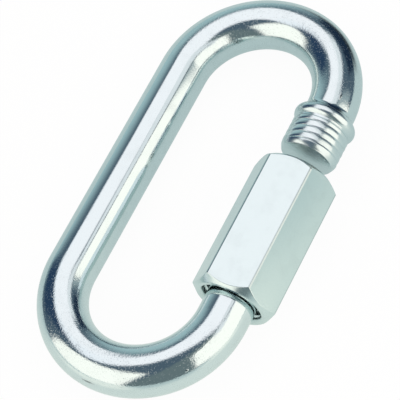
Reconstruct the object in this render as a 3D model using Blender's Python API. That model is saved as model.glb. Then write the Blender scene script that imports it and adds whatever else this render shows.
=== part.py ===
"""Chain quick link: an open oval of bent round rod whose mouth is closed by a long hexagonal sleeve nut.

The rod is one turned and bent bar: a profile of radii along its length, swept round the oval.
The sleeve nut is one hexagonal prism with chamfered, rounded ends and a clear bore.
It lies as it comes to rest: on one flat of the nut and on the far side of the rod.
Link frame: X across the link towards the nut, Y along the link, Z off its plane.
"""
import math

import bpy
import bmesh
from mathutils import Vector

for old in list(bpy.data.objects):
    bpy.data.objects.remove(old, do_unlink=True)

MM = 0.001

# Rod and oval
ROD_D = 8.0 * MM
INSIDE_LENGTH = 57.0 * MM
INSIDE_WIDTH = 18.4 * MM
MOUTH = 10.0 * MM               # clear gap between the two threaded ends

# Threaded ends: plain cylinders at the diameter of the thread's crests
THREAD_RISE = 0.7 * MM          # crest height above the rod
UPPER_THREAD = 5.2 * MM         # length from the upper end face
LOWER_THREAD = 9.0 * MM         # length from the lower end face
TIP_CHAMFER = 1.1 * MM          # length of the lead-in cone at each end face
TIP_DROP = 0.4 * MM             # from the crests down to the cone's end
RELIEF_LENGTH = 0.5 * MM        # groove between the upper thread and the collar
RELIEF_DEPTH = 0.2 * MM

# Stop collar
COLLAR_RISE = 1.1 * MM          # above the rod
COLLAR_WIDTH = 2.25 * MM
COLLAR_TO_BEND = 0.85 * MM

# Sleeve nut
THREAD_CLEARANCE = 0.15 * MM    # between thread crests and bore, on the radius
NUT_WALL = 1.25 * MM            # from the bore to a flat
OPEN_OVERRUN = 4.2 * MM         # how far the fully open nut runs on to the lower bend
NUT_BACK_OFF = 3.05 * MM        # from the upper end face down to the nut, as it lies
SINK_RISE = 0.35 * MM           # countersink at both mouths of the bore
CORNER_CHAMFER = 1.1 * MM       # length of the turned chamfer at the corners
CHAMFER_IN = 0.4 * MM           # from the flats in to the chamfer's circle on the end face
EDGE_BREAK = 0.12 * MM          # width of the broken edge round that circle, on each side
CORNER_ROUND = 0.5 * MM         # rounding of the six long edges

ROD_SIDES = 32
BEND_STEPS = 24
FLAT_STEPS = 3                  # strips on half a flat
ROUND_STEPS = 2                 # strips on half a long edge

# Sizes that follow
rod_r = ROD_D / 2
thread_r = rod_r + THREAD_RISE
width = INSIDE_WIDTH + ROD_D                    # between the centrelines of the two sides
bend_r = width / 2
bend_y = (INSIDE_LENGTH - INSIDE_WIDTH) / 2     # where the straight sides meet the bends
collar_top = bend_y - COLLAR_TO_BEND
upper_tip = collar_top - COLLAR_WIDTH - RELIEF_LENGTH - UPPER_THREAD
lower_tip = upper_tip - MOUTH
bore_r = thread_r + THREAD_CLEARANCE
flat_r = bore_r + NUT_WALL                      # half the width across flats
hex_corner = flat_r / math.cos(math.pi / 6)
nut_length = lower_tip + bend_y + OPEN_OVERRUN
nut_top = upper_tip - NUT_BACK_OFF
nut_middle = nut_top - nut_length / 2
corner_round = min(CORNER_ROUND, 0.5 * flat_r)
sink_r = bore_r + SINK_RISE
chamfer_r = max(flat_r - CHAMFER_IN, sink_r + EDGE_BREAK)
edge_break = min(EDGE_BREAK, 0.5 * (chamfer_r - sink_r))

# At rest the nut lies on a flat and the far side of the rod touches the floor
lift = flat_r - rod_r
tilt = math.asin(lift / width)
middle_z = rod_r + bend_r * math.sin(tilt)
half_span = bend_r * math.cos(tilt)
near_edge = half_span + hex_corner - corner_round * (1 / math.cos(math.pi / 6) - 1)
far_edge = -half_span - rod_r
middle_x = -(near_edge + far_edge) / 2          # puts the origin under the middle of the whole

# Distances along the rod, from the upper end face round to the lower one
run_up = bend_y - upper_tip
run_bend = math.pi * bend_r
run_side = 2 * bend_y
run_low = lower_tip + bend_y
rod_length = run_up + run_bend + run_side + run_bend + run_low


def along_rod(s):
    """Centre and outward normal of the rod at distance s from its upper end face."""
    if s <= run_up:
        return Vector((bend_r, upper_tip + s, 0)), Vector((1, 0, 0))
    s -= run_up
    if s <= run_bend:
        a = s / bend_r
        n = Vector((math.cos(a), math.sin(a), 0))
        return n * bend_r + Vector((0, bend_y, 0)), n
    s -= run_bend
    if s <= run_side:
        return Vector((-bend_r, bend_y - s, 0)), Vector((-1, 0, 0))
    s -= run_side
    if s <= run_bend:
        a = math.pi + s / bend_r
        n = Vector((math.cos(a), math.sin(a), 0))
        return n * bend_r + Vector((0, -bend_y, 0)), n
    s -= run_bend
    return Vector((bend_r, -bend_y + s, 0)), Vector((1, 0, 0))


def rod_profile():
    """Stations (distance, radius) from the upper end face round to the lower one."""
    relief_r = thread_r - RELIEF_DEPTH
    tip_r = thread_r - TIP_DROP
    out = [(0, tip_r), (TIP_CHAMFER, thread_r), (UPPER_THREAD, thread_r)]
    start = UPPER_THREAD + RELIEF_LENGTH
    out.append((UPPER_THREAD + RELIEF_LENGTH / 2, relief_r))
    steps = 10
    for k in range(steps + 1):
        a = math.pi * k / steps
        s = start + COLLAR_WIDTH * (1 - math.cos(a)) / 2
        r = rod_r + COLLAR_RISE * math.sin(a)
        out.append((s, max(r, relief_r) if k < steps / 2 else r))
    for k in range(BEND_STEPS + 1):
        out.append((run_up + run_bend * k / BEND_STEPS, rod_r))
    for k in range(BEND_STEPS + 1):
        out.append((run_up + run_bend + run_side + run_bend * k / BEND_STEPS, rod_r))
    low = rod_length - LOWER_THREAD
    out += [(low, rod_r), (low + THREAD_RISE, thread_r), (rod_length - TIP_CHAMFER, thread_r)]
    out.append((rod_length, tip_r))
    return out


def make_rod():
    """Rings of the profile set square to the rod's centreline, bridged, with flat end faces."""
    bm = bmesh.new()
    rings = []
    for s, r in rod_profile():
        centre, normal = along_rod(s)
        ring = []
        for k in range(ROD_SIDES):
            a = 2 * math.pi * k / ROD_SIDES
            ring.append(bm.verts.new(centre + normal * (r * math.cos(a)) + Vector((0, 0, r * math.sin(a)))))
        rings.append(ring)
    for lower, upper in zip(rings, rings[1:]):
        for k in range(ROD_SIDES):
            j = (k + 1) % ROD_SIDES
            bm.faces.new((lower[k], lower[j], upper[j], upper[k]))
    bm.faces.new(rings[0])
    bm.faces.new(rings[-1])
    return bm


def hex_column(turn):
    """Distance from the nut's axis to its side at an angle from the middle of a flat."""
    inner = flat_r - corner_round
    off = math.pi / 6 - abs(turn)
    if flat_r * math.tan(abs(turn)) <= inner * math.tan(math.pi / 6) + 1e-9:
        return flat_r / math.cos(turn)
    pivot = inner / math.cos(math.pi / 6)
    return pivot * math.cos(off) + math.sqrt(corner_round ** 2 - (pivot * math.sin(off)) ** 2)


def nut_turns():
    """Angles of the nut's columns: even strips on each flat and finer ones on the long edges."""
    edge = math.atan((flat_r - corner_round) * math.tan(math.pi / 6) / flat_r)
    half = [math.atan(math.tan(edge) * k / FLAT_STEPS) for k in range(FLAT_STEPS + 1)]
    half += [edge + (math.pi / 6 - edge) * k / ROUND_STEPS for k in range(1, ROUND_STEPS)]
    one = [-t for t in reversed(half[1:])] + half + [math.pi / 6]
    return [(i * math.pi / 3, t) for i in range(6) for t in one]


def end_rows(side):
    """Radius and depth below the end face, from the bore out to the full hexagon, for one column.

    A cone cut from the chamfer's circle on the end face meets the flats and the long edges where
    it reaches the hexagon's side, so it runs out in an arc on each flat.
    """
    widest = hex_column(math.pi / 6)
    slope = (widest - chamfer_r) / CORNER_CHAMFER
    crease = (side - chamfer_r) / slope
    along = edge_break / math.hypot(1, slope)
    return [
        (bore_r, SINK_RISE),
        (sink_r, 0.0),
        (chamfer_r - edge_break, 0.0),
        (chamfer_r + slope * along, along),
        (side, crease),
    ]


def make_nut():
    """Closed grid round the nut's own Y axis: bore, countersinks, end faces, chamfers and flats."""
    bm = bmesh.new()
    columns = []
    for face, turn in nut_turns():
        side = hex_column(turn)
        a = math.pi / 2 + face + turn
        rows = end_rows(side)
        top = [(r, nut_length / 2 - d) for r, d in rows]
        low = [(r, -nut_length / 2 + d) for r, d in reversed(rows)]
        columns.append([bm.verts.new((r * math.cos(a), y, r * math.sin(a))) for r, y in top + low])
    count = len(columns)
    for i in range(count):
        a, b = columns[i], columns[(i + 1) % count]
        for k in range(len(a)):
            j = (k + 1) % len(a)
            bm.faces.new((a[k], b[k], b[j], a[j]))
    return bm


def steel(name, colour, roughness):
    mat = bpy.data.materials.new(name)
    mat.use_nodes = True
    shader = mat.node_tree.nodes["Principled BSDF"]
    shader.inputs["Base Color"].default_value = (*colour, 1)
    shader.inputs["Metallic"].default_value = 1.0
    shader.inputs["Roughness"].default_value = roughness
    return mat


def place(name, bm, mat, parent, location):
    bmesh.ops.recalc_face_normals(bm, faces=bm.faces)
    mesh = bpy.data.meshes.new(name)
    bm.to_mesh(mesh)
    bm.free()
    mesh.shade_smooth()
    mesh.set_sharp_from_angle(angle=math.radians(25))
    mesh.materials.append(mat)
    ob = bpy.data.objects.new(name, mesh)
    bpy.context.scene.collection.objects.link(ob)
    ob.parent = parent
    ob.location = location
    return ob


def empty(name, location, tip=0.0):
    ob = bpy.data.objects.new(name, None)
    ob.empty_display_size = 10 * MM
    ob.location = location
    ob.rotation_euler = (0, tip, 0)
    bpy.context.scene.collection.objects.link(ob)
    return ob


link_frame = empty("link_frame", (middle_x, 0, middle_z), -tilt)
nut_axis = empty("nut_axis", (middle_x + half_span, 0, flat_r))

place("link_body", make_rod(), steel("zinc_plated_rod", (0.70, 0.75, 0.77), 0.22), link_frame, (0, 0, 0))
place("sleeve_nut", make_nut(), steel("zinc_plated_nut", (0.74, 0.79, 0.80), 0.30), nut_axis, (0, nut_middle, 0))
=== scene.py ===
"""Dresses a packed chain quick link: a bent and threaded rod, its hexagonal sleeve nut and a small studio.

Lengths are in metres. The link frame has X across the link towards the nut, Y along the link and
Z off its plane; it is tipped about Y so that the nut lies on a flat and the rod touches the floor.
"""
import math

import bpy
import numpy as np
from bpy.props import FloatProperty, FloatVectorProperty, IntProperty, PointerProperty
from mathutils import Euler, Matrix, Vector


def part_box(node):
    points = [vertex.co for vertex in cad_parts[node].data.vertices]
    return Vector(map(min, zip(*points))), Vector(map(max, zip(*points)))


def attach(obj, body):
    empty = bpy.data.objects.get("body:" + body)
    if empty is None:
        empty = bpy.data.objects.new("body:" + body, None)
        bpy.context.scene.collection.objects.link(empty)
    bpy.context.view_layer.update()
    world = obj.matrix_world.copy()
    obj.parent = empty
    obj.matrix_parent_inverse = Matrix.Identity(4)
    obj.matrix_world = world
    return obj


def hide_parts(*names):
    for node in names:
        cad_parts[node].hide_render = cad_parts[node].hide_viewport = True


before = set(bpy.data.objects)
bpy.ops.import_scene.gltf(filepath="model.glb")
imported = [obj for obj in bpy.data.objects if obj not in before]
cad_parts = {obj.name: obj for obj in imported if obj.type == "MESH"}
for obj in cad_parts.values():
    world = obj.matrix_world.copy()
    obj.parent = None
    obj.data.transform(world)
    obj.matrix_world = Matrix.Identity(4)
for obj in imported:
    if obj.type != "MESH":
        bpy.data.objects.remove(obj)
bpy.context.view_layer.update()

bl_info = {
    "name": "Chain quick link",
    "version": (1, 0, 0),
    "blender": (4, 5, 0),
    "location": "3D View > Sidebar > Quick Link",
    "description": "Builds the finished surfaces of a chain quick link and its studio",
    "category": "Object",
}

ROD_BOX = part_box("link_body")
NUT_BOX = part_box("sleeve_nut")
MM = 0.001
TURN = 2 * math.pi
HEX_HALF = math.pi / 6      # half the angle that one flat of the nut takes

# How finely the pieces are divided
ROD_THREAD_STEPS = 30       # along one pitch, on the rod
NUT_THREAD_STEPS = 16       # along one pitch, in the nut
FACE_RINGS = 10             # on the rod's end faces
RIM_STEPS = 5               # on the rounding round them
RELIEF_STEPS = 8
COLLAR_STEPS = 32
BEND_STEPS = 96
SIDE_STEPS = 39             # along the straight side
RUN_STEPS = 11              # from the lower bend to its thread
EDGE_STRIPS = 6             # on half a long edge of the nut
CURVE_STEPS = 6             # on a softened corner of the nut's profile
ROOM_COLUMNS = 64
ROOM_ROWS = 24

# The thread's form
FULLNESS = 0.985            # how far its round crests reach down towards sharp roots
FIRST_CREST = 0.16          # part of a pitch that the crests are moved by, as photographed

# The plating's patterns, in bumps to a metre
RING_SCALE = 7000.0         # turning marks
LINE_SCALE = (90.0, 2400.0, 2400.0)     # drawing lines, long along the piece and fine across it
PATCH_SCALE = 420.0         # dull patches
MARK_HEIGHT = 0.003 * MM    # height of turning marks and drawing lines

# Dents: place in the link frame, length along the rod, width, depth
NICKS = (
    ((-0.77 * MM, -36.21 * MM, 1.46 * MM), 2.0 * MM, 0.5 * MM, 0.03 * MM),
    ((12.95 * MM, -29.54 * MM, 2.24 * MM), 0.5 * MM, 0.4 * MM, 0.05 * MM),
    ((15.0 * MM, 20.9 * MM, 3.5 * MM), 1.3 * MM, 0.5 * MM, 0.04 * MM),
)

# Panels round the link: soft boxes, dark gaps between them, a thin dark seam, a backdrop and two dim
# cards. The nearer ones hide the farther ones. Each row is a name, an aim, a distance, edges, the
# width of the fade and a colour, as soft_box takes them, and whether it also lights the table.
PANELS = (
    ("card_side", (20, 26, 31), 0.130, (0.31, 0.50, -0.45, 0.31), 0.14, (0.36, 0.43, 0.45), False),
    ("seam", (52, 52, 25), 0.131, (-0.30, 0.34, -0.016, 0.016), 0.012, (0.05, 0.07, 0.09), False),
    ("soft_box_near", (38, 35, 19), 0.133, (-0.68, 0.89, 0.23, 0.51), 0.12, (0.94, 0.94, 0.96), False),
    ("soft_box_right", (85, 14, 11), 0.216, (-0.54, 0.79, -0.31, 0.90), 0.13, (1.36, 1.28, 1.18), True),
    ("dark_gap_front", (33, 27, -6), 0.267, (-0.90, -0.06, -0.76, -0.04), 0.12, (0.014, 0.03, 0.06), False),
    ("soft_box_above", (-29, 87, 9), 0.423, (-0.485, 0.49, -1.25, 0.12), 0.15, (1.20, 1.14, 1.17), True),
    ("soft_box_above_left", (-96, 89, 0), 0.43, (-0.22, 0.53, -0.755, -0.4), 0.15, (1.12, 1.1, 1.15), False),
    ("dark_gap_left", (254, 15, -5), 0.621, (0.09, 0.57, -0.02, 0.79), 0.18, (0.026, 0.055, 0.11), False),
    ("card_behind", (138, 33, -46), 1.0, (-1.12, 1.09, -1.14, 0.38), 0.10, (0.160, 0.205, 0.215), False),
    ("backdrop", (-36, 5, 49), 1.3, (-1.74, 0.28, -0.38, 0.70), 0.60, (0.430, 0.590, 0.615), False),
    ("soft_box_left", (207, 16, 2), 2.0, (-0.51, 0.80, -0.34, 0.84), 0.18, (1.34, 1.27, 1.17), True),
)

SENSOR = 36.0               # mm, the width that the focal length belongs to
TABLE_REACH = 2.9           # from the middle of the table to its edges
ROOM_REACH = 2.8            # radius of the dim room


def length(name, description, default):
    """A length property in metres."""
    return FloatProperty(name=name, description=description, default=default, unit="LENGTH", precision=5)


def colour(name, description, default):
    """A linear colour property."""
    return FloatVectorProperty(
        name=name, description=description, default=default, size=3, min=0.0, max=4.0, subtype="COLOR"
    )


def angle(name, description, degrees):
    """An angle property, given here in degrees."""
    return FloatProperty(name=name, description=description, default=math.radians(degrees), subtype="ANGLE")


def fraction(name, description, default):
    """A property between 0 and 1."""
    return FloatProperty(name=name, description=description, default=default, min=0.0, max=1.0)


class RodSettings(bpy.types.PropertyGroup):
    """The bent rod, its two threaded ends and its collar."""

    diameter: length("Rod diameter", "Plain round rod", 8.0 * MM)
    inside_width: length("Inside width", "Clear width of the oval", 18.4 * MM)
    mouth: length("Mouth", "Clear gap between the two threaded ends", 10.0 * MM)
    thread_rise: length("Thread rise", "Crest of the thread above the plain rod", 0.7 * MM)
    thread_depth: length("Thread depth", "Crest to root of the rounded thread", 0.13 * MM)
    pitch: length("Thread pitch", "Distance between crests", 1.15 * MM)
    upper_thread: length("Upper thread", "Length from the upper end face", 5.2 * MM)
    lower_thread: length("Lower thread", "Length from the lower end face", 9.0 * MM)
    tip_chamfer: length("Tip chamfer", "Length of the lead-in cone at each end face", 1.1 * MM)
    tip_drop: length("Tip drop", "From the crests down to the end face's edge", 0.4 * MM)
    tip_rim: length("Tip rim", "Rounding between the end face and the lead-in cone", 0.12 * MM)
    relief_length: length("Relief length", "Groove between the upper thread and the collar", 0.5 * MM)
    relief_depth: length("Relief depth", "Depth of that groove below the crests", 0.2 * MM)
    collar_rise: length("Collar rise", "Height of the stop collar above the rod", 1.1 * MM)
    collar_width: length("Collar width", "Length of the stop collar", 2.25 * MM)
    collar_to_bend: length("Collar to bend", "Straight rod between collar and bend", 0.85 * MM)
    sides: IntProperty(name="Sides", description="Columns round the rod", default=112, min=24)


class NutSettings(bpy.types.PropertyGroup):
    """The hexagonal sleeve nut; its length, place and width across flats come from the frame."""

    thread_crest: length("Thread crest", "Radius of the inner thread's crests", 4.78 * MM)
    thread_depth: length("Thread depth", "Crest to root of the inner thread", 0.4 * MM)
    countersink: length("Countersink", "Radius of the bore's edge at both end faces", 5.2 * MM)
    sink_depth: length("Countersink depth", "From the end face to the first thread", 0.4 * MM)
    corner_chamfer: length("Corner chamfer", "Length of the turned chamfer at the corners", 1.1 * MM)
    chamfer_in: length("Chamfer inset", "From the flats in to the chamfer's circle on the face", 0.4 * MM)
    edge_round: length("Edge rounding", "Reach of the rounded edges round the end faces", 0.11 * MM)
    corner_round: length("Corner rounding", "Rounding of the six long edges", 0.5 * MM)


class FinishSettings(bpy.types.PropertyGroup):
    """Bright zinc plating, a little uneven from tumbling."""

    zinc: colour("Zinc", "Body colour of the plating on the rod", (0.70, 0.79, 0.80))
    nut_zinc: colour("Nut zinc", "Body colour of the plating on the nut", (0.68, 0.79, 0.79))
    # The dull colour is also that of the painted shade along the nut's long edges
    dull: colour("Dull zinc", "Colour of worn and dented places", (0.20, 0.23, 0.24))
    gloss: fraction("Roughness", "Of clean plating", 0.075)
    turned_gloss: fraction("Turned roughness", "Of threads, collar and end faces", 0.2)
    grain: length("Grain height", "Height of the fine unevenness of the plating", 0.003 * MM)
    bend_grain: length("Bend grain height", "The same on the bends, where it is coarser", 0.012 * MM)
    grain_size: length("Grain size", "Distance between its bumps", 0.24 * MM)


class StudioSettings(bpy.types.PropertyGroup):
    """The camera, the table, the dim room and the soft light from all round."""

    focal: FloatProperty(name="Focal length", description="For a 36 mm sensor, in mm", default=170.42)
    distance: length("Camera distance", "From the aim point", 295.08 * MM)
    azimuth: angle("Azimuth", "Camera turned round the link", 41.90)
    elevation: angle("Elevation", "Camera above the table", 59.26)
    roll: angle("Roll", "Camera turned about its view", -17.72)
    aim: FloatVectorProperty(
        name="Aim",
        description="Point in the link frame on the camera's axis",
        default=(0.12 * MM, -1.42 * MM, -0.71 * MM),
        size=3,
        subtype="XYZ",
        unit="LENGTH",
    )
    # Painted light on the table as the metal shows it: its well lit tone and its dimmer rest
    table: colour("Table", "Well lit parts of the table, as the metal shows them", (1.02, 1.04, 0.96))
    table_back: colour("Table back", "The rest of the table, as the metal shows it", (0.60, 0.70, 0.695))
    room: colour("Room", "Dim room beyond the soft boxes", (0.092, 0.134, 0.176))
    level: FloatProperty(name="Light level", description="Soft light from all round", default=0.75, min=0.0)


class Signal:
    """One output of a shader tree, with arithmetic that adds Math nodes."""

    def __init__(self, tree, socket):
        self.tree = tree
        self.socket = socket

    def _math(self, operation, *terms):
        return self.tree.node("ShaderNodeMath", {"operation": operation}, dict(enumerate(terms)))

    def __add__(self, other):
        return self._math("ADD", self, other)

    def __sub__(self, other):
        return self._math("SUBTRACT", self, other)

    def __mul__(self, other):
        return self._math("MULTIPLY", self, other)

    def __truediv__(self, other):
        return self._math("DIVIDE", self, other)

    def __rsub__(self, other):
        return self._math("SUBTRACT", other, self)

    __radd__ = __add__
    __rmul__ = __mul__

    def __abs__(self):
        return self._math("ABSOLUTE", self)

    def larger(self, other):
        """The larger of the two."""
        return self._math("MAXIMUM", self, other)

    def ramp(self, low, high):
        """0 below low, 1 above high and a smooth S between them."""
        return self.tree.node(
            "ShaderNodeMapRange",
            {"interpolation_type": "SMOOTHSTEP"},
            {"Value": self, "From Min": low, "From Max": high},
        )


class Graph:
    """A material's or the world's node tree."""

    def __init__(self, owner):
        owner.use_nodes = True
        self.owner = owner
        self.tree = owner.node_tree
        self.tree.nodes.clear()

    def node(self, kind, settings=None, sockets=None, out=0):
        """A node of that kind: settings first, then values or links, and one of its outputs."""
        made = self.tree.nodes.new(kind)
        for name, value in (settings or {}).items():
            setattr(made, name, value)
        for key, value in (sockets or {}).items():
            if isinstance(value, Signal):
                self.tree.links.new(value.socket, made.inputs[key])
            else:
                made.inputs[key].default_value = value
        return Signal(self, made.outputs[out])

    def mix(self, share, a, b):
        """Colour a where share is 0 and b where it is 1."""
        a, b = (v if isinstance(v, Signal) else (*v, 1.0) for v in (a, b))
        return self.node("ShaderNodeMix", {"data_type": "RGBA"}, {0: share, 6: a, 7: b}, out=2)

    def parts(self, vector):
        """The three numbers of a vector."""
        first = self.node("ShaderNodeSeparateXYZ", {}, {0: vector})
        return [Signal(self, out) for out in first.socket.node.outputs]

    def rays(self, *kinds):
        """1 for a ray of any of those kinds, such as "Is Camera Ray", and 0 for any other."""
        outputs = self.node("ShaderNodeLightPath").socket.node.outputs
        found = Signal(self, outputs[kinds[0]])
        for kind in kinds[1:]:
            found = found.larger(Signal(self, outputs[kind]))
        return found

    def scaled(self, vector, factors):
        """A vector times a factor for each of its parts."""
        return self.node("ShaderNodeVectorMath", {"operation": "MULTIPLY"}, {0: vector, 1: factors})

    def measured(self, operation, vector):
        """A number from a vector, such as its LENGTH."""
        return self.node("ShaderNodeVectorMath", {"operation": operation}, {0: vector}, out=1)

    def noise(self, vector, scale, detail):
        """A soft random pattern between 0 and 1 with scale bumps to a metre."""
        return self.node("ShaderNodeTexNoise", {}, {"Vector": vector, "Scale": scale, "Detail": detail})

    def surface(self, shader):
        """Joins a shader to the output of the material or the world."""
        is_world = isinstance(self.owner, bpy.types.World)
        made = self.tree.nodes.new("ShaderNodeOutputWorld" if is_world else "ShaderNodeOutputMaterial")
        self.tree.links.new(shader.socket, made.inputs["Surface"])


def zinc_plating(name, zinc, finish, ends, turned, bends=(), nicks=(), edge_shade_beyond=0.0):
    """Bright zinc over steel: a tumbled grain, lines along the piece, turning marks near its two ends.

    The pattern lies on straight_place, which holds the place on the straightened piece: X along it
    between the two ends, Y and Z across. Turned is how far from an end the lathe has reached, and
    bends are stretches where the grain is coarser. A nick is a dent with its place on the
    straightened piece, its length, its width and its depth. The last argument is the distance from the
    piece's axis beyond which its long edges are rougher and darkened, a painted dark line along each edge.
    """
    bend_fade = 4 * MM              # where a bend's coarse grain runs out
    patch_coarse, patch_dull, patch_rough = 0.15, 0.05, 0.04
    nick_dull, edge_shade_share = 0.85, 0.3
    fewest_specks = 0.06            # on the plain rod, as a share of those on a bend
    speck_rough, dull_rough = 0.20, 0.1

    mat = bpy.data.materials.new(name)
    g = Graph(mat)
    place = g.node("ShaderNodeAttribute", {"attribute_name": "straight_place"}, out=1)
    along = g.parts(place)[0]
    reach = (ends[1] - ends[0]) / 2 - abs(along - (ends[0] + ends[1]) / 2)
    radius = g.measured("LENGTH", g.scaled(place, (0.0, 1.0, 1.0)))
    face = 1 - reach.ramp(0.02 * MM, 0.06 * MM)         # 1 on the end faces
    lathe = 1 - reach.ramp(turned - 0.1 * MM, turned)   # 1 as far as the lathe has reached
    rings = g.noise(g.node("ShaderNodeCombineXYZ", {}, {"X": (along + radius) * RING_SCALE}), 1.0, 1.0)
    lines = g.noise(g.scaled(place, LINE_SCALE), 1.0, 2.0)
    grain = g.noise(place, 1 / finish.grain_size, 2.0)
    patches = g.noise(place, PATCH_SCALE, 2.0).ramp(0.45, 0.75)

    coarse = patches * patch_coarse
    for start, stop in bends:
        middle, half = (start + stop) / 2, (stop - start) / 2
        on_bend = 1 - abs(along - middle).ramp(half - bend_fade, half + bend_fade)
        coarse = coarse.larger(on_bend)
    height = grain * (finish.grain + coarse * (finish.bend_grain - finish.grain))
    height = height + lines * MARK_HEIGHT * (1 - lathe)
    height = height + rings * MARK_HEIGHT * (lathe + face)

    dull_and_edge_shade = patches * patch_dull
    for centre, span, width, depth in nicks:
        offset = g.node("ShaderNodeVectorMath", {"operation": "SUBTRACT"}, {0: place, 1: centre})
        ragged = g.measured("LENGTH", g.scaled(offset, (2 / span, 2 / width, 2 / width))) + grain * 0.8
        dent = 1 - ragged.ramp(0.7, 1.5)
        height = height - dent * depth
        dull_and_edge_shade = dull_and_edge_shade.larger(dent * nick_dull)
    # Painted shade: the long edges beyond that distance are darkened into a dark line along each edge
    if edge_shade_beyond:
        dull_and_edge_shade = dull_and_edge_shade.larger(radius.ramp(edge_shade_beyond, edge_shade_beyond + 0.04 * MM) * edge_shade_share)
    base = g.mix(dull_and_edge_shade, tuple(zinc), tuple(finish.dull))

    specks = g.noise(place, 1 / finish.grain_size, 1.0).ramp(0.53, 0.68)
    specks = specks * (fewest_specks + coarse * (1 - fewest_specks))
    rough = finish.gloss + specks * speck_rough + lathe * (finish.turned_gloss - finish.gloss)
    rough = rough + patches * patch_rough + dull_and_edge_shade * dull_rough
    bump = g.node("ShaderNodeBump", {}, {"Strength": 1.0, "Distance": 1.0, "Height": height})
    sockets = {"Base Color": base, "Metallic": 1.0, "Roughness": rough, "Normal": bump}
    g.surface(g.node("ShaderNodeBsdfPrincipled", {}, sockets))
    return mat


def add_surface(name, points, quads, triangles, places):
    """A mesh from whole arrays: points, quads and cap triangles, with the place on the straight piece."""
    mesh = bpy.data.meshes.new(name)
    loops = np.concatenate([quads.ravel(), triangles.ravel()]).astype(np.int32)
    starts = np.concatenate(
        [np.arange(len(quads)) * 4, len(quads) * 4 + np.arange(len(triangles)) * 3]
    ).astype(np.int32)
    mesh.vertices.add(len(points))
    mesh.vertices.foreach_set("co", points.astype(np.float32).ravel())
    mesh.loops.add(len(loops))
    mesh.loops.foreach_set("vertex_index", loops)
    mesh.polygons.add(len(starts))
    mesh.polygons.foreach_set("loop_start", starts)
    mesh.update(calc_edges=True)
    along = mesh.attributes.new("straight_place", "FLOAT_VECTOR", "POINT")
    along.data.foreach_set("vector", places.astype(np.float32).ravel())
    mesh.shade_smooth()
    ob = bpy.data.objects.new(name, mesh)
    bpy.context.scene.collection.objects.link(ob)
    return ob


def grid_quads(rows, columns):
    """Quads of a grid whose last column meets its first."""
    i, j = np.meshgrid(np.arange(rows - 1), np.arange(columns), indexing="ij")
    k = (j + 1) % columns
    low, high = i * columns, (i + 1) * columns
    return np.stack([low + j, low + k, high + k, high + j], -1).reshape(-1, 4)


def thread_height(y, turn, pitch):
    """Rounded right-hand thread: 0 at the root and 1 at the crest, each crest a shallow round bulge.

    With u from -1 to 1 across one crest, it is the square root of (1 - fullness times u squared),
    stretched to run from 0 to 1.
    """
    phase = y / pitch + turn / TURN + FIRST_CREST
    u = 2 * (phase - np.round(phase))
    floor = math.sqrt(1 - FULLNESS)
    return (np.sqrt(1 - FULLNESS * u * u) - floor) / (1 - floor)


def smooth(x):
    """0 below 0, 1 above 1 and a smooth S between them."""
    x = np.clip(x, 0.0, 1.0)
    return x * x * (3 - 2 * x)


class LinkShape:
    """Sizes that follow from the settings and the frame."""

    def __init__(self, rod):
        nut_low, nut_high = NUT_BOX
        self.rod_r = rod.diameter / 2
        self.width = rod.inside_width + rod.diameter
        self.bend_r = self.width / 2
        self.bend_y = ROD_BOX[1].y - self.bend_r - self.rod_r
        self.flat_r = (nut_high.z - nut_low.z) / 2
        self.nut_middle = Vector((nut_high + nut_low) / 2)
        self.nut_length = nut_high.y - nut_low.y
        self.tilt = math.asin((self.flat_r - self.rod_r) / self.width)
        self.middle = Vector((
            self.nut_middle.x - self.bend_r * math.cos(self.tilt),
            0.0,
            self.rod_r + self.bend_r * math.sin(self.tilt),
        ))
        self.thread_r = self.rod_r + rod.thread_rise
        collar_low = self.bend_y - rod.collar_to_bend - rod.collar_width
        self.upper_tip = collar_low - rod.relief_length - rod.upper_thread
        self.lower_tip = self.upper_tip - rod.mouth
        self.run_up = self.bend_y - self.upper_tip
        self.run_bend = math.pi * self.bend_r
        self.run_side = 2 * self.bend_y
        self.run_low = self.lower_tip + self.bend_y
        self.rod_length = self.run_up + 2 * self.run_bend + self.run_side + self.run_low
        self.to_world = Matrix.Translation(self.middle) @ Euler((0, -self.tilt, 0)).to_matrix().to_4x4()

    def centreline(self, s):
        """Centre and outward normal at distance s from the upper end face.

        The line is a straight run, an arc, the straight side, an arc and a straight run.
        """
        r, by = self.bend_r, self.bend_y
        edges = np.cumsum([self.run_up, self.run_bend, self.run_side, self.run_bend])
        a = np.clip((s - edges[0]) / r, 0, math.pi) + np.clip((s - edges[2]) / r, 0, math.pi)
        n = np.stack([np.cos(a), np.sin(a)], -1)
        up = np.minimum(s, edges[0]) + self.upper_tip
        side = np.clip(s - edges[1], 0, self.run_side)
        low = np.maximum(s - edges[3], 0)
        y = np.where(s <= edges[0], up, np.where(s < edges[3], by - side, -by + low))
        y = y + np.where((s > edges[0]) & (s < edges[3]), n[:, 1] * r, 0)
        return np.stack([n[:, 0] * r, y], -1), n

    def straightened(self, point):
        """Place on the straightened rod of a point on a bend, given in the link frame."""
        x, y, z = point
        upper = y > 0
        from_middle = y - self.bend_y if upper else y + self.bend_y
        a = math.atan2(from_middle, x) % TURN
        start = self.run_up if upper else self.run_up + self.run_side
        return start + a * self.bend_r, math.hypot(x, from_middle) - self.bend_r, z


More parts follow.
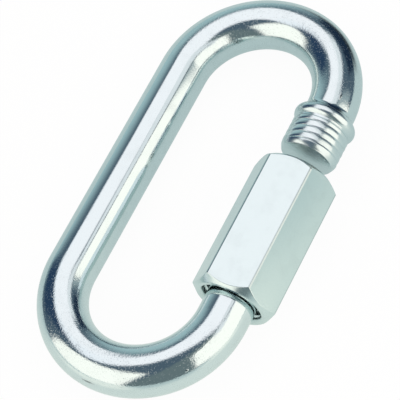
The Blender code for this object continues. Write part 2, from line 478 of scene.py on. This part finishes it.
def rod_stations(rod, link):
    """Distances along the rod, closest together on the threads, and the plain profile's radius at each.

    From the centre of an end face: the flat face, a rim of a quarter of a flattened circle, a lead-in
    that bulges as 1 - (1 - t) to the power 1.5, the crests, a relief whose side is a quarter of a
    sine, the collar's half ellipse, the rod.
    """
    bulge = 1.5
    rim_flattening = 0.8
    r, crest = link.rod_r, link.thread_r
    relief = crest - rod.relief_depth
    fine = rod.pitch / ROD_THREAD_STEPS
    rim = rod.tip_rim
    total = link.rod_length
    collar = rod.upper_thread + rod.relief_length
    turn = np.linspace(0, math.pi, COLLAR_STEPS + 1)
    collar_s = collar + rod.collar_width * (1 - np.cos(turn)) / 2
    collar_r = r + rod.collar_rise * np.sin(turn)
    collar_r = np.where(turn < math.pi / 2, np.maximum(collar_r, relief), collar_r)
    bend = np.arange(BEND_STEPS + 1) / BEND_STEPS * link.run_bend
    low = total - rod.lower_thread

    face_r = crest - rod.tip_drop
    quarter = np.linspace(0, math.pi / 2, RIM_STEPS + 1)[1:]
    cap_r = (face_r - rim) * np.linspace(0, 1, FACE_RINGS + 1)[1:]
    rim_s = rim * (1 - np.cos(quarter)) * rim_flattening
    rim_r = face_r - rim + rim * np.sin(quarter)
    cone_s = np.arange(rim_s[-1] + fine, rod.tip_chamfer, fine)
    t = (cone_s - rim_s[-1]) / (rod.tip_chamfer - rim_s[-1])
    cone_r = face_r + rod.tip_drop * (1 - (1 - t) ** bulge)
    screw_s = np.arange(rod.tip_chamfer, rod.upper_thread, fine)
    groove = np.linspace(0, 1, RELIEF_STEPS + 1)[:-1]
    relief_s = rod.upper_thread + rod.relief_length * groove
    relief_r = crest - rod.relief_depth * np.sin(np.minimum(groove * 2, 1) * math.pi / 2)
    plain = np.concatenate([
        link.run_up + bend,
        link.run_up + link.run_bend + np.linspace(0, link.run_side, SIDE_STEPS + 1)[1:-1],
        link.run_up + link.run_bend + link.run_side + bend,
    ])
    before = np.linspace(plain[-1], low, RUN_STEPS + 1)[1:-1]
    grow_s = np.arange(low, low + rod.thread_rise, fine)
    grow_r = r + (grow_s - low)
    lower_s = np.arange(low + rod.thread_rise, total - rod.tip_chamfer, fine)
    s = np.concatenate([
        np.zeros(len(cap_r)), rim_s, cone_s, screw_s, relief_s, collar_s, plain, before, grow_s, lower_s,
        (total - cone_s)[::-1], (total - rim_s)[::-1], np.full(len(cap_r), total),
    ])
    profile = np.concatenate([
        cap_r, rim_r, cone_r, np.full(len(screw_s), crest), relief_r, collar_r,
        np.full(len(plain), r), np.full(len(before), r), grow_r, np.full(len(lower_s), crest),
        cone_r[::-1], rim_r[::-1], cap_r[::-1],
    ])
    return s, profile


def threaded_radius(rod, link, s, profile, turn):
    """The plain profile, cut down where the thread's rounded grooves lie below it.

    The upper thread runs out over 0.6 of a pitch and the lower one over a whole pitch.
    """
    y = np.where(s < link.rod_length / 2, link.upper_tip + s, link.lower_tip - (link.rod_length - s))
    up = smooth((rod.upper_thread - s) / (0.6 * rod.pitch)) * (s > 0)
    low = smooth((s - (link.rod_length - rod.lower_thread)) / rod.pitch) * (s < link.rod_length)
    cut = rod.thread_depth * np.where(s < link.rod_length / 2, up, low)
    height = thread_height(y[:, None], turn[None, :], rod.pitch)
    limit = link.thread_r - cut[:, None] * (1 - height)
    inside = (cut > 0)[:, None]
    return np.where(inside, np.minimum(profile[:, None], limit), profile[:, None])


class QUICKLINK_OT_bent_rod(bpy.types.Operator):
    """Sweep the rod's turned profile and its threads round the oval"""

    bl_idname = "quicklink.bent_rod"
    bl_label = "Bent rod"

    def execute(self, context):
        rod = context.scene.quicklink_rod
        link = LinkShape(rod)
        s, profile = rod_stations(rod, link)
        turn = np.arange(rod.sides) / rod.sides * TURN
        radius = threaded_radius(rod, link, s, profile, turn)
        centre, normal = link.centreline(s)
        across = radius * np.cos(turn)
        x = centre[:, :1] + normal[:, :1] * across
        y = centre[:, 1:] + normal[:, 1:] * across
        z = radius * np.sin(turn)
        points = np.stack([x, y, z], -1).reshape(-1, 3)
        places = np.stack([np.broadcast_to(s[:, None], z.shape), across, z], -1).reshape(-1, 3)
        tips, _ = link.centreline(np.array([0.0, link.rod_length]))
        poles = np.column_stack([tips, np.zeros(2)])
        points = np.vstack([points, poles])
        places = np.vstack([places, [[0, 0, 0], [link.rod_length, 0, 0]]])
        n = rod.sides
        k = np.arange(n)
        last = (len(s) - 1) * n
        first_cap = np.column_stack([np.full(n, len(points) - 2), (k + 1) % n, k])
        last_cap = np.column_stack([np.full(n, len(points) - 1), last + k, last + (k + 1) % n])
        quads = grid_quads(len(s), n)
        world = np.array(link.to_world)
        points = points @ world[:3, :3].T + world[:3, 3]
        ob = add_surface("bent_rod", points, quads, np.vstack([first_cap, last_cap]), places)
        nicks = [(link.straightened(point), *sizes) for point, *sizes in NICKS]
        turned = rod.upper_thread + rod.relief_length + rod.collar_width
        finish = context.scene.quicklink_finish
        second = link.run_up + link.run_bend + link.run_side
        bends = [(link.run_up, link.run_up + link.run_bend), (second, second + link.run_bend)]
        ends = (0.0, link.rod_length)
        zinc = zinc_plating("zinc_on_rod", finish.zinc, finish, ends, turned, bends, nicks)
        ob.data.materials.append(zinc)
        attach(ob, "link_body")
        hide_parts("link_body")
        return {"FINISHED"}


def nut_edge(nut, flat_r):
    """Distance from the nut's axis to where a flat runs into the rounding of a long edge."""
    return math.hypot(flat_r, (flat_r - nut.corner_round) * math.tan(HEX_HALF))


def hex_columns(nut, flat_r):
    """Angles from the middle of a flat, and the distance out to the rounded hexagon at each.

    On a flat it is flat_r / cos(turn); on a long edge it is the far side of a circle of the edge's
    radius. The flats' last columns lie close to the edges, so that the shading stays flat.
    """
    inner = flat_r - nut.corner_round
    edge = math.atan(inner * math.tan(HEX_HALF) / flat_r)
    share = np.concatenate([[-1.0, -0.975], np.linspace(-0.93, 0.93, 13), [0.975, 1.0]])
    flat = np.arctan(math.tan(edge) * share)
    bend = np.linspace(edge, 2 * HEX_HALF - edge, 2 * EDGE_STRIPS + 1)[1:-1]
    pivot = inner / math.cos(HEX_HALF)
    off = bend - HEX_HALF
    bend_out = pivot * np.cos(off) + np.sqrt(nut.corner_round ** 2 - (pivot * np.sin(off)) ** 2)
    one = np.concatenate([flat, bend])
    out = np.concatenate([flat_r / np.cos(flat), bend_out])
    turns = (np.arange(6)[:, None] * 2 * HEX_HALF + one[None, :]).ravel()
    return turns, np.tile(out, 6)


def softened(corners, reach):
    """Rows along a profile whose inner corners are rounded, for every column at once.

    Each corner becomes a quadratic curve from a point before it to one after it, at most 0.45 of
    the way to its neighbours; one more row lies close beyond each end, to keep the faces flat.
    """
    farthest, beyond = 0.45, 0.08
    rows = [corners[0]]
    t = np.linspace(0, 1, CURVE_STEPS + 1)[:, None, None]
    for before, corner, after in zip(corners, corners[1:], corners[2:]):
        ends = []
        for other in (before, after):
            gap = np.maximum(np.hypot(*(other - corner)), 1e-9)
            ends.append(corner + (other - corner) * np.minimum(reach / gap, farthest))
        first, last = ends
        curve = (1 - t) ** 2 * first + 2 * t * (1 - t) * corner + t * t * last
        rows += [first + (before - first) * beyond, *curve, last + (after - last) * beyond]
    return np.stack(rows + [corners[-1]])


def nut_end(nut, flat_r, side, half):
    """Rows from the first thread out over the end face and down to the nut's middle, per column.

    Corners: the bore at the countersink's depth, the countersink's edge, the chamfer's circle, the
    place where the chamfer's cone meets the hexagon's side, and the side at the nut's middle.
    """
    chamfer_r = flat_r - nut.chamfer_in
    slope = (side.max() - chamfer_r) / nut.corner_chamfer
    ones = np.ones_like(side)
    corners = [
        np.stack([nut.thread_crest * ones, nut.sink_depth * ones]),
        np.stack([nut.countersink * ones, 0 * ones]),
        np.stack([chamfer_r * ones, 0 * ones]),
        np.stack([side, (side - chamfer_r) / slope]),
        np.stack([side, half * ones]),
    ]
    rows = softened(corners, nut.edge_round)
    return rows[:, 0], rows[:, 1]


class QUICKLINK_OT_sleeve_nut(bpy.types.Operator):
    """Build the hexagonal sleeve nut with its chamfered ends and inner thread"""

    bl_idname = "quicklink.sleeve_nut"
    bl_label = "Sleeve nut"

    def execute(self, context):
        nut = context.scene.quicklink_nut
        rod = context.scene.quicklink_rod
        link = LinkShape(rod)
        turns, side = hex_columns(nut, link.flat_r)
        half = link.nut_length / 2
        radius, depth = nut_end(nut, link.flat_r, side, half)
        fine = rod.pitch / NUT_THREAD_STEPS
        bore_y = np.arange(half - nut.sink_depth - fine, -half + nut.sink_depth, -fine)
        lead = smooth((half - nut.sink_depth - np.abs(bore_y)) / (0.5 * rod.pitch))
        height = thread_height(bore_y[:, None] + link.nut_middle.y, turns[None, :], rod.pitch)
        bore_r = nut.thread_crest + nut.thread_depth * lead[:, None] * height
        r = np.vstack([radius, radius[-2::-1], bore_r[::-1]])
        y = np.vstack([half - depth, (depth - half)[-2::-1], bore_y[::-1, None] * np.ones_like(side)])
        a = math.pi / 2 + turns
        x, z = r * np.cos(a), r * np.sin(a)
        points = np.stack([x, y, z], -1).reshape(-1, 3)
        places = np.stack([y, x, z], -1).reshape(-1, 3)
        rows, n = r.shape
        quads = grid_quads(rows, n)
        k = np.arange(n)
        last = (rows - 1) * n
        join = np.column_stack([last + k, last + (k + 1) % n, (k + 1) % n, k])
        quads = np.vstack([quads, join])
        points += np.array(link.nut_middle)
        ob = add_surface("hex_sleeve_nut", points, quads, np.zeros((0, 3), int), places)
        finish = context.scene.quicklink_finish
        edge = nut_edge(nut, link.flat_r)
        zinc = zinc_plating(
            "zinc_on_hexagon", finish.nut_zinc, finish, (-half, half), nut.corner_chamfer, edge_shade_beyond=edge
        )
        ob.data.materials.append(zinc)
        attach(ob, "sleeve_nut")
        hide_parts("sleeve_nut")
        return {"FINISHED"}


def facing(azimuth, elevation):
    """Unit vector towards a place on the sky; azimuth runs from +Y towards +X."""
    a, e = math.radians(azimuth), math.radians(elevation)
    return Vector((math.sin(a) * math.cos(e), math.cos(a) * math.cos(e), math.sin(e)))


def only_for_metal(ob, light):
    """Shows an object in reflections only; a light shines on the table too."""
    ob.visible_camera = False
    ob.visible_shadow = False
    ob.visible_diffuse = light
    ob.visible_transmission = False
    ob.visible_volume_scatter = False


def soft_box(name, aim, distance, edges, soft, glow, light):
    """A glowing panel square to the direction it is seen in from the link, fading out at its edges.

    Aim is its azimuth, its elevation and its spin about that direction, in degrees. Edges are left,
    right, low and high where it is half as bright, as tangents of the angles from the aim, and soft
    is the width of the fade. A light shines on the table too.
    """
    axis = facing(*aim[:2])
    across = Vector((axis.y, -axis.x, 0)).normalized()
    up = across.cross(axis)
    spin = math.radians(aim[2])
    c, s = math.cos(spin), math.sin(spin)
    across, up = across * c + up * s, up * c - across * s
    left, right, low, high = edges
    rim = soft / 2
    corners = [
        (left - rim, low - rim),
        (right + rim, low - rim),
        (right + rim, high + rim),
        (left - rim, high + rim),
    ]
    mesh = bpy.data.meshes.new(name)
    points = [(axis + across * x + up * y) * distance for x, y in corners]
    mesh.from_pydata(points, [], [(0, 1, 2, 3)])
    spread = mesh.attributes.new("panel_place", "FLOAT_VECTOR", "POINT")
    spread.data.foreach_set("vector", np.array([(x, y, 0.0) for x, y in corners], np.float32).ravel())
    ob = bpy.data.objects.new(name, mesh)
    bpy.context.scene.collection.objects.link(ob)
    mat = bpy.data.materials.new(name)
    g = Graph(mat)
    place = g.node("ShaderNodeAttribute", {"attribute_name": "panel_place"}, out=1)
    x, y, _ = g.parts(place)
    inside = 1.0
    for value, start, end in ((x, left, right), (y, low, high)):
        half = (end - start) / 2
        inside = (1 - abs(value - (start + end) / 2).ramp(half - rim, half + rim)) * inside
    shine = g.node("ShaderNodeEmission", {}, {"Color": (*glow, 1.0), "Strength": 1.0})
    clear = g.node("ShaderNodeBsdfTransparent")
    g.surface(g.node("ShaderNodeMixShader", {}, {0: inside, 1: clear, 2: shine}))
    mesh.materials.append(mat)
    only_for_metal(ob, light)


class QUICKLINK_OT_studio(bpy.types.Operator):
    """Set up the pale table, the soft boxes, the dim room and the camera"""

    bl_idname = "quicklink.studio"
    bl_label = "Studio"

    def execute(self, context):
        studio = context.scene.quicklink_studio
        link = LinkShape(context.scene.quicklink_rod)
        self.table(studio)
        self.room(studio)
        self.world(studio)
        for panel in PANELS:
            soft_box(*panel)
        self.camera(context, studio, link)
        context.scene.view_settings.view_transform = "Standard"
        return {"FINISHED"}

    def painted_light_share(self, g, spot, x, y):
        """Share of the table's full light at a spot, as the metal shows it.

        This is painted light and painted reflections of the soft boxes. The table is fully lit out to the
        link's right (+X) and in front (-Y), and half lit close to it on those sides. Elsewhere it has its
        back colour.
        """
        right = x.ramp(15 * MM, 68 * MM) * (1 - y.ramp(-18 * MM, 34 * MM)) * y.ramp(-62 * MM, -42 * MM)
        front = (1 - y.ramp(-62 * MM, -34 * MM)) * (1 - x.ramp(-4 * MM, 22 * MM))
        front = front * x.ramp(-75 * MM, -35 * MM)
        close = 1 - g.measured("LENGTH", spot).ramp(45 * MM, 85 * MM)
        near = close * (x * 0.7 - y).ramp(-10 * MM, 35 * MM) * 0.5
        return right.larger(front).larger(near)

    def painted_dark_reflection(self, x, y):
        """Share of a painted dark reflection in a wedge behind the link, opening at y = 30 mm round x = 16
        mm.
        """
        spread = (y - 30 * MM).larger(1 * MM) * 0.4
        return y.ramp(38 * MM, 70 * MM) * (1 - (abs(x - 16 * MM) / spread).ramp(0.4, 1.7))

    def table(self, studio):
        """A wide pale table: white to the camera, and in reflections painted light and painted reflections
        that glow.
        """
        # The dark wedge is a painted reflection of the front dark gap on the table
        dark_reflection_level = 0.3               # the dark wedge, as a share of the room's colour
        white = (0.95, 0.95, 0.95)
        # To the metal the table's glow is painted light, and it also lifts the link's shadow on the table
        own_to_camera, own_to_metal = 0.95, 0.75    # how much of what is seen is the table's own glow

        mesh = bpy.data.meshes.new("table")
        far = TABLE_REACH
        points = [(-far, -far, 0), (far, -far, 0), (far, far, 0), (-far, far, 0)]
        mesh.from_pydata(points, [], [(0, 1, 2, 3)])
        ob = bpy.data.objects.new("table", mesh)
        ob.location.z = -0.02 * MM
        bpy.context.scene.collection.objects.link(ob)
        mat = bpy.data.materials.new("table")
        g = Graph(mat)
        seen = g.rays("Is Camera Ray")
        mirrored = g.rays("Is Glossy Ray", "Is Transmission Ray")
        spot = g.node("ShaderNodeTexCoord", out=3)
        x, y, _ = g.parts(spot)
        # Painted light and painted reflections on the table, as the metal shows it
        painted_table_light = g.mix(self.painted_light_share(g, spot, x, y), tuple(studio.table_back), tuple(studio.table))
        painted_table_light = g.mix(self.painted_dark_reflection(x, y), painted_table_light, tuple(dark_reflection_level * c for c in studio.room))
        base = g.mix(mirrored, white, painted_table_light)
        sockets = {"Base Color": base, "Roughness": 0.5, "Specular IOR Level": 0.15}
        top = g.node("ShaderNodeBsdfPrincipled", {}, sockets)
        # The glow that the metal sees carries the painted light and painted reflections
        own = g.mix(mirrored, (1.0, 1.0, 1.0), painted_table_light)
        bright = g.node("ShaderNodeEmission", {}, {"Color": own, "Strength": 1.0})
        glow = seen * own_to_camera + mirrored * own_to_metal
        g.surface(g.node("ShaderNodeMixShader", {}, {0: glow, 1: top, 2: bright}))
        mesh.materials.append(mat)

    def room(self, studio):
        """The dim room beyond the soft boxes, shown only in the metal.

        It is a dome from a little below the horizon up to a cap at the zenith.
        """
        a = np.linspace(0, TURN, ROOM_COLUMNS + 1)[:-1]
        e = np.linspace(-0.12, math.pi / 2 - 0.02, ROOM_ROWS)
        ea, aa = np.meshgrid(e, a, indexing="ij")
        points = np.stack([np.sin(aa) * np.cos(ea), np.cos(aa) * np.cos(ea), np.sin(ea)], -1)
        points = np.vstack([points.reshape(-1, 3) * ROOM_REACH, [[0, 0, ROOM_REACH]]])
        n = len(a)
        k = np.arange(n)
        last = (len(e) - 1) * n
        cap = np.column_stack([np.full(n, len(points) - 1), last + k, last + (k + 1) % n])
        mesh = bpy.data.meshes.new("dim_room")
        faces = [*grid_quads(len(e), n).tolist(), *cap.tolist()]
        mesh.from_pydata(points.tolist(), [], faces)
        ob = bpy.data.objects.new("dim_room", mesh)
        bpy.context.scene.collection.objects.link(ob)
        mat = bpy.data.materials.new("dim_room")
        g = Graph(mat)
        g.surface(g.node("ShaderNodeEmission", {}, {"Color": (*studio.room, 1.0), "Strength": 1.0}))
        mesh.materials.append(mat)
        only_for_metal(ob, False)

    def world(self, studio):
        """White to the camera and in reflections, and a plain soft light on everything else."""
        world = bpy.data.worlds.new("studio_air")
        bpy.context.scene.world = world
        g = Graph(world)
        seen = g.rays("Is Camera Ray", "Is Glossy Ray", "Is Transmission Ray")
        strength = studio.level + seen * (1.0 - studio.level)
        g.surface(g.node("ShaderNodeBackground", {}, {"Color": (1, 1, 1, 1), "Strength": strength}))

    def camera(self, context, studio, link):
        """The photograph's view: back off from the aim point, then roll about the view."""
        data = bpy.data.cameras.new("camera")
        data.lens = studio.focal
        data.sensor_width = SENSOR
        ob = bpy.data.objects.new("camera", data)
        context.scene.collection.objects.link(ob)
        a, e = studio.azimuth, studio.elevation
        back = Vector((math.sin(a) * math.cos(e), -math.cos(a) * math.cos(e), math.sin(e)))
        aim = link.to_world @ Vector(studio.aim)
        turned = (-back).to_track_quat("-Z", "Y").to_matrix().to_4x4()
        ob.matrix_world = (
            Matrix.Translation(aim + back * studio.distance) @ turned @ Matrix.Rotation(studio.roll, 4, "Z")
        )
        context.scene.camera = ob


class QUICKLINK_PT_sidebar(bpy.types.Panel):
    """The steps that build the quick link"""

    bl_label = "Quick Link"
    bl_idname = "QUICKLINK_PT_sidebar"
    bl_space_type = "VIEW_3D"
    bl_region_type = "UI"
    bl_category = "Quick Link"

    def draw(self, context):
        for step in STEPS:
            self.layout.operator(step.bl_idname)
        for name in SETTINGS:
            group = getattr(context.scene, name)
            for key in group.__annotations__:
                self.layout.prop(group, key)


STEPS = (QUICKLINK_OT_bent_rod, QUICKLINK_OT_sleeve_nut, QUICKLINK_OT_studio)
SETTINGS = {
    "quicklink_rod": RodSettings,
    "quicklink_nut": NutSettings,
    "quicklink_finish": FinishSettings,
    "quicklink_studio": StudioSettings,
}


def register():
    for kind in (*SETTINGS.values(), *STEPS, QUICKLINK_PT_sidebar):
        bpy.utils.register_class(kind)
    for name, kind in SETTINGS.items():
        setattr(bpy.types.Scene, name, PointerProperty(type=kind))


def unregister():
    for name in SETTINGS:
        delattr(bpy.types.Scene, name)
    for kind in reversed((*SETTINGS.values(), *STEPS, QUICKLINK_PT_sidebar)):
        bpy.utils.unregister_class(kind)


def main():
    register()
    bpy.ops.quicklink.bent_rod()
    bpy.ops.quicklink.sleeve_nut()
    bpy.ops.quicklink.studio()


if __name__ == "__main__":
    main()
